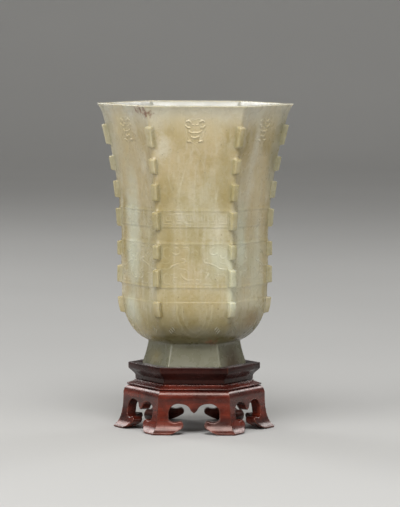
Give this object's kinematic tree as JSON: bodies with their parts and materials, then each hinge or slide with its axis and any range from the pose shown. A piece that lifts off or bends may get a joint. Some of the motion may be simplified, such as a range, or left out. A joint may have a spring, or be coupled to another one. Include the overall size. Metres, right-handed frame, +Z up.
{
  "type": "six-sided stone cup on a wooden stand",
  "caption": "Six-sided flared stone cup with notched corner flanges and low carved bands, lifting out of a mitred hardwood stand with scrolled feet.",
  "frame": {"origin": "centre of the stand's feet, on the surface that it stands on", "axes": "+Z up along the axis of cup and stand, -Y out of the middle of the side that faces the viewer"},
  "size_m": [0.0892, 0.078, 0.1467],
  "materials": {
    "jade": "polished pale celadon jade",
    "stand_wood": "polished dark reddish hardwood",
    "key_wood": "plain unpolished hardwood"
  },
  "bodies": {
    "stand": {"tray_floor": "stand_wood", "rim_rail_1": "stand_wood", "rim_rail_2": "stand_wood", "rim_rail_3": "stand_wood", "rim_rail_4": "stand_wood", "rim_rail_5": "stand_wood", "rim_rail_6": "stand_wood", "waist_rail_1": "stand_wood", "waist_rail_2": "stand_wood", "waist_rail_3": "stand_wood", "waist_rail_4": "stand_wood", "waist_rail_5": "stand_wood", "waist_rail_6": "stand_wood", "apron_panel_1": "stand_wood", "apron_panel_2": "stand_wood", "apron_panel_3": "stand_wood", "apron_panel_4": "stand_wood", "apron_panel_5": "stand_wood", "apron_panel_6": "stand_wood", "apron_key_1": "key_wood", "apron_key_2": "key_wood", "apron_key_3": "key_wood", "apron_key_4": "key_wood", "apron_key_5": "key_wood", "apron_key_6": "key_wood", "rim_key_1": "key_wood", "rim_key_2": "key_wood", "rim_key_3": "key_wood", "rim_key_4": "key_wood", "rim_key_5": "key_wood", "rim_key_6": "key_wood", "stand_pin_1": "key_wood", "stand_pin_2": "key_wood", "stand_pin_3": "key_wood", "stand_pin_4": "key_wood", "stand_pin_5": "key_wood", "stand_pin_6": "key_wood"},
    "cup": {"jade_cup": "jade"}
  },
  "joints": [
    {"name": "cup_lift", "type": "slide", "parent": "stand", "child": "cup", "axis": [0, 0, 1], "range_m": [0, 0.06]}
  ]
}
